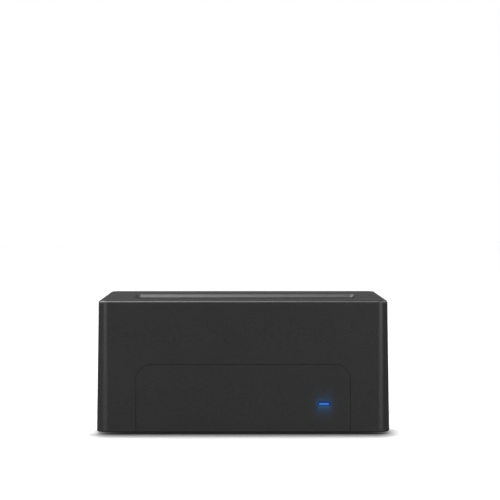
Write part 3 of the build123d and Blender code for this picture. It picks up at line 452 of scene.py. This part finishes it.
def board_laminate():
    """Green solder mask over bundles of copper tracks."""
    m = Nodes("board_laminate")
    lanes = m.add(
        "ShaderNodeTexBrick",
        offset=0.37,
        offset_frequency=3,
        inputs={
            "Vector": m.place,
            "Scale": 130.0,
            "Mortar Size": 0.022,
            "Brick Width": 2.3,
            "Row Height": 0.085,
        },
    ).outputs["Fac"]
    bundles = m.spread(m.noise(70.0, detail=1.0), (0.47, 0.5))
    tracks = m.math("MULTIPLY", lanes, bundles)
    mask = m.mix(m.noise(300.0), shade(0.004, 0.05, 0.017), shade(0.005, 0.062, 0.021))
    m.set(Base_Color=m.mix(tracks, mask, shade(0.008, 0.095, 0.034)), Roughness=0.3)
    m.bump(tracks, STREAK_DEPTH)
    return m


def passives():
    """Small ceramic blocks in shades from tan to black."""
    m = Nodes("small_blocks")
    cells = m.add(
        "ShaderNodeTexVoronoi", inputs={"Vector": m.place, "Scale": 330.0}
    ).outputs["Color"]
    colour = m.mix(cells, shade(0.28, 0.17, 0.08), grey(0.03))
    m.set(Base_Color=colour, Roughness=0.45)
    return m


def blue_diode():
    """Clear blue epoxy, lit from inside."""
    m = Nodes("lit_diode")
    m.set(
        Base_Color=m.mix(m.noise(400.0), shade(0.05, 0.15, 0.8), shade(0.1, 0.25, 0.95)),
        Roughness=0.12,
        Emission_Color=shade(0.1, 0.3, 1.0),
        Emission_Strength=1.5,
    )
    return m


tin = plated_metal("tin_plate", (0.46, 0.46, 0.45), 0.32, DRAWN_ALONG_Z)
steel = plated_metal("plain_steel", (0.44, 0.44, 0.45), 0.3, DRAWN_ALONG_Y)
dark_steel = plated_metal("dark_steel", (0.075, 0.075, 0.08), 0.38)
spring_steel = plated_metal("spring_steel", (0.38, 0.38, 0.39), 0.3)
gilt = plated_metal("gilt", (0.75, 0.5, 0.17), 0.26, DRAWN_ALONG_Z)
foot_finish = rubber()
inner = satin_plastic("inner_plastic", 0.014, 0.5)
socket = satin_plastic("socket_plastic", 0.011, 0.38)
chip = chip_resin()
can = aluminium_can()
blue_plastic = tinted_plastic(
    "blue_plastic", shade(0.01, 0.06, 0.36), shade(0.015, 0.08, 0.45), 0.35
)
finishes = {
    "upper_housing": housing_plastic("charcoal_plastic"),
    "front_panel": glowing_panel(),
    "light_pipe": light_window(),
    "base_cover": inner,
    "drive_bay": inner,
    "slot_flap": satin_plastic("flap_plastic", 0.017, 0.42),
    "rubber_foot_front_left": foot_finish,
    "rubber_foot_front_right": foot_finish,
    "rubber_foot_rear_left": foot_finish,
    "rubber_foot_rear_right": foot_finish,
    "flap_hinge_pin": steel,
    "flap_spring_left": spring_steel,
    "flap_spring_right": spring_steel,
    "main_board": board_laminate(),
    "sata_receptacle": socket,
    "sata_contacts": gilt,
    "usb_shell": steel,
    "usb_insert": blue_plastic,
    "usb_contacts": gilt,
    "dc_jack_body": socket,
    "dc_jack_pin": tin,
    "dc_jack_tabs": tin,
    "switch_case": socket,
    "switch_rocker": satin_plastic("rocker_plastic", 0.009, 0.24),
    "switch_tabs": tin,
    "status_led": blue_diode(),
    "status_led_wires": tin,
    "bridge_chip": chip,
    "flash_chip": chip,
    "regulator_chips": chip,
    "bridge_chip_leads": tin,
    "small_chip_leads": tin,
    "power_inductors": tinted_plastic("ferrite", grey(0.035), grey(0.06), 0.6),
    "bulk_capacitor_1": can,
    "bulk_capacitor_2": can,
    "bulk_capacitor_3": can,
    "crystal": tin,
    "small_passives": passives(),
    "cover_screws": dark_steel,
    "board_screws": steel,
    "bay_screws": dark_steel,
}
for name, node in nodes.items():
    for place in node.material_slots:
        place.material = finishes[name].material


def new_piece(name, points, faces, finish):
    """One mesh from points in millimetres, smooth but for its sharp edges."""
    mesh = bpy.data.meshes.new(name)
    mesh.from_pydata([metres(point) for point in points], [], faces)
    mesh.polygons.foreach_set("use_smooth", [True] * len(mesh.polygons))
    mesh.set_sharp_from_angle(angle=math.radians(SHARP_DEG))
    mesh.materials.append(finish.material)
    piece = bpy.data.objects.new(name, mesh)
    scene.collection.objects.link(piece)
    return piece


def circle(steps):
    """The cosine and sine of each of the even steps round a circle."""
    angles = [2 * math.pi * step / steps for step in range(steps)]
    return [(math.cos(angle), math.sin(angle)) for angle in angles]


def swept(path, radius, up, height=None, closed=False):
    """Points and faces of a bar along a path: round, or oval with its height along up."""
    up = Vector(up)
    height = radius if height is None else height
    count = len(path)
    points = []
    for index, place in enumerate(path):
        if closed:
            before, after = path[index - 1], path[(index + 1) % count]
        else:
            before, after = path[max(index - 1, 0)], path[min(index + 1, count - 1)]
        along = (after - before).normalized()
        rise = (up - along * up.dot(along)).normalized()
        side = along.cross(rise)
        for across, upward in circle(WIRE_SIDES):
            points.append(place + side * (radius * across) + rise * (height * upward))
    faces = []
    for ring in range(count if closed else count - 1):
        here, there = ring * WIRE_SIDES, (ring + 1) % count * WIRE_SIDES
        for step in range(WIRE_SIDES):
            following = (step + 1) % WIRE_SIDES
            faces.append((here + step, here + following, there + following, there + step))
    if not closed:
        faces.append(tuple(reversed(range(WIRE_SIDES))))
        faces.append(tuple(range((count - 1) * WIRE_SIDES, count * WIRE_SIDES)))
    return points, faces


def flap_spring(name, start_x):
    """A torsion spring on the hinge pin."""
    axis = Vector((start_x, HINGE_Y, HINGE_Z))
    coil = []
    for index in range(int(COIL_TURNS * COIL_STEPS) + 1):
        turn = index / COIL_STEPS
        angle = 2 * math.pi * turn
        across = Vector((0.0, -math.sin(angle), math.cos(angle))) * COIL_RADIUS
        coil.append(axis + across + Vector((COIL_PITCH * turn, 0.0, 0.0)))
    lead_in = (coil[0] - coil[1]).normalized()
    lead_out = (coil[-1] - coil[-2]).normalized()
    path = [coil[0] + lead_in * FLAP_LEG * share for share in reversed(LEG_SHARES)]
    path += coil
    path += [coil[-1] + lead_out * WALL_LEG * share for share in LEG_SHARES]
    points, faces = swept(path, WIRE_RADIUS, (1.0, 0.0, 0.0))
    piece = new_piece(f"{name}_wire", points, faces, spring_steel)
    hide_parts(name)
    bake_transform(piece)


def rocker_mark(name, side, flat_path, closed):
    """A raised mark on one face of the rocker: its path is along and up the face."""
    rise = ROCKER_CROWN - ROCKER_VALLEY
    middle_height = ROCKER_VALLEY + rise * MARK_ALONG / ROCKER_HALF
    tilt = Matrix.Rotation(math.radians(ROCKER_TILT_DEG), 3, "Z")
    face = Matrix.Rotation(math.atan2(rise, ROCKER_HALF) * side, 3, "Z")
    middle = tilt @ Vector((side * MARK_ALONG, middle_height, 0.0)) + Vector(ROCKER_PIVOT)
    path = [tilt @ face @ Vector((along, 0.0, up)) + middle for along, up in flat_path]
    outward = tilt @ face @ Vector((0.0, 1.0, 0.0))
    points, faces = swept(path, MARK_STROKE, outward, height=MARK_PROUD, closed=closed)
    ink = tinted_plastic(name, grey(0.5), grey(0.62), 0.4)
    piece = new_piece(name, points, faces, ink)
    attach(piece, "rocker")


def rubber_foot(name):
    """A turned rubber foot with two rings round its tread."""
    low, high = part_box(name)
    middle_x, middle_y = [
        (first + last) / 2 * MM_PER_METRE for first, last in ((low.x, high.x), (low.y, high.y))
    ]
    points = [
        (middle_x + radius * across, middle_y + radius * along, height)
        for radius, height in FOOT_PROFILE
        for across, along in circle(FOOT_STEPS)
    ]
    faces = [tuple(range(FOOT_STEPS))]
    last = (len(FOOT_PROFILE) - 1) * FOOT_STEPS
    for here in range(0, last, FOOT_STEPS):
        there = here + FOOT_STEPS
        for step in range(FOOT_STEPS):
            following = (step + 1) % FOOT_STEPS
            faces.append((here + step, there + step, there + following, here + following))
    faces.append(tuple(reversed(range(last, last + FOOT_STEPS))))
    piece = new_piece(f"{name}_tread", points, faces, foot_finish)
    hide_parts(name)
    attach(piece, "dock")


for name, start_x in SPRING_STARTS.items():
    flap_spring(name, start_x)
upright = [(0.0, MARK_HALF * share) for share in (-1.0, 0.0, 1.0)]
ring = [(MARK_HALF * across, MARK_HALF * up) for across, up in circle(MARK_STEPS)]
rocker_mark("rocker_mark_on", -1, upright, closed=False)
rocker_mark("rocker_mark_off", 1, ring, closed=True)
for corner in ("front_left", "front_right", "rear_left", "rear_right"):
    rubber_foot(f"rubber_foot_{corner}")


def pale_floor():
    """The floor's material: pale, with a painted shadow round the object and painted light
    under its ends, where the camera sees it.
    """
    m = Nodes("pale_floor")
    rays = m.add("ShaderNodeLightPath").outputs["Is Camera Ray"]
    x, y, _ = [m.math("ABSOLUTE", along) for along in m.axes()]
    # Painted shadow: how far the floor is from the foot, over which it darkens for the camera
    reach = [m.past(along, half) for along, half in zip((x, y), SHADOW_CORE_HALF)]
    distance = m.math("SUBTRACT", m.distance(*reach), SHADOW_ROUND)
    thinning = m.spread(y, SIDE_REACH, SIDE_RATE, smooth=True)
    beside = m.math("MULTIPLY", m.past(x, SIDE_FROM), thinning)
    distance = m.math("ADD", distance, beside)
    painted_shadow_share = m.spread(distance, SHADE_REACH, smooth=True)
    tone = m.mix(painted_shadow_share, grey(PAINTED_SHADOW_TONE), grey(FLOOR_TONE))
    # Painted light under the dock's ends, brightest at the ends and fading inwards
    inside = m.math("MINIMUM", m.math("SUBTRACT", x, LEAK_FROM), 0.0)
    fading = m.math("EXPONENT", m.math("DIVIDE", inside, LEAK_FADE))
    painted_leak = m.math("MULTIPLY", fading, m.spread(y, LEAK_REACH, (1.0, 0.0)))
    painted_leak = m.math("MULTIPLY", painted_leak, m.spread(m.axes()[0], LEAK_ENDS, PAINTED_LEAK))
    # Camera-only glow, weakest by the foot, which paints the painted shadow's soft edge, plus
    # the painted light under the ends
    lift = m.math("ADD", m.spread(distance, LIFT_REACH, LIFT, smooth=True), painted_leak)
    m.set(
        Base_Color=m.mix(rays, grey(FLOOR_TONE), tone),
        Roughness=0.9,
        Specular_IOR_Level=0.1,
        Emission_Color=grey(1.0),
        Emission_Strength=m.math("MULTIPLY", rays, lift),
    )
    return m


def floor():
    """The pale floor, which keeps the object's shadow from the lamps and also carries a
    painted shadow.
    """
    mesh = bpy.data.meshes.new("floor")
    corners = [(-1, -1, 0), (1, -1, 0), (1, 1, 0), (-1, 1, 0)]
    points = [[FLOOR_HALF * along for along in corner] for corner in corners]
    mesh.from_pydata(points, [], [(0, 1, 2, 3)])
    mesh.materials.append(pale_floor().material)
    plane = bpy.data.objects.new("floor", mesh)
    scene.collection.objects.link(plane)


def studio_world():
    """White to the camera and in reflections, and plain grey light on the object."""
    world = bpy.data.worlds.new("studio")
    world.use_nodes = True
    tree = world.node_tree
    tree.nodes.clear()
    rays = tree.nodes.new("ShaderNodeLightPath")

    def either(first, second):
        node = tree.nodes.new("ShaderNodeMath")
        node.operation = "MAXIMUM"
        tree.links.new(first, node.inputs[0])
        tree.links.new(second, node.inputs[1])
        return node.outputs[0]

    def plain_light(level):
        node = tree.nodes.new("ShaderNodeBackground")
        node.inputs["Color"].default_value = grey(1.0)
        node.inputs["Strength"].default_value = level
        return node.outputs[0]

    mirrored = either(rays.outputs["Is Glossy Ray"], rays.outputs["Is Transmission Ray"])
    blend = tree.nodes.new("ShaderNodeMixShader")
    tree.links.new(either(rays.outputs["Is Camera Ray"], mirrored), blend.inputs[0])
    tree.links.new(plain_light(WORLD_LEVEL), blend.inputs[1])
    tree.links.new(plain_light(WHITE_LEVEL), blend.inputs[2])
    output = tree.nodes.new("ShaderNodeOutputWorld")
    tree.links.new(blend.outputs[0], output.inputs[0])
    scene.world = world


def area_lamp(name, place, target, size, watts, in_gloss_alone):
    """A soft oblong lamp that looks at a point."""
    data = bpy.data.lights.new(name, "AREA")
    data.shape = "RECTANGLE"
    data.size, data.size_y = size
    data.energy = watts
    lamp = bpy.data.objects.new(name, data)
    lamp.location = place
    lamp.visible_diffuse = not in_gloss_alone
    lamp.rotation_euler = (Vector(target) - Vector(place)).to_track_quat("-Z", "Y").to_euler()
    scene.collection.objects.link(lamp)


def camera():
    """The photograph's own view."""
    data = bpy.data.cameras.new("camera")
    data.lens = LENS_MM
    data.sensor_width = SENSOR_MM
    data.clip_start = CLIP_NEAR
    data.clip_end = CLIP_FAR
    eye = bpy.data.objects.new("camera", data)
    eye.location = CAMERA_PLACE
    eye.rotation_euler = [math.radians(angle) for angle in CAMERA_TILT_DEG]
    scene.collection.objects.link(eye)
    scene.camera = eye


floor()
studio_world()
for name, lamp_facts in LAMPS.items():
    area_lamp(name, *lamp_facts)
camera()

scene.view_settings.view_transform = "Standard"
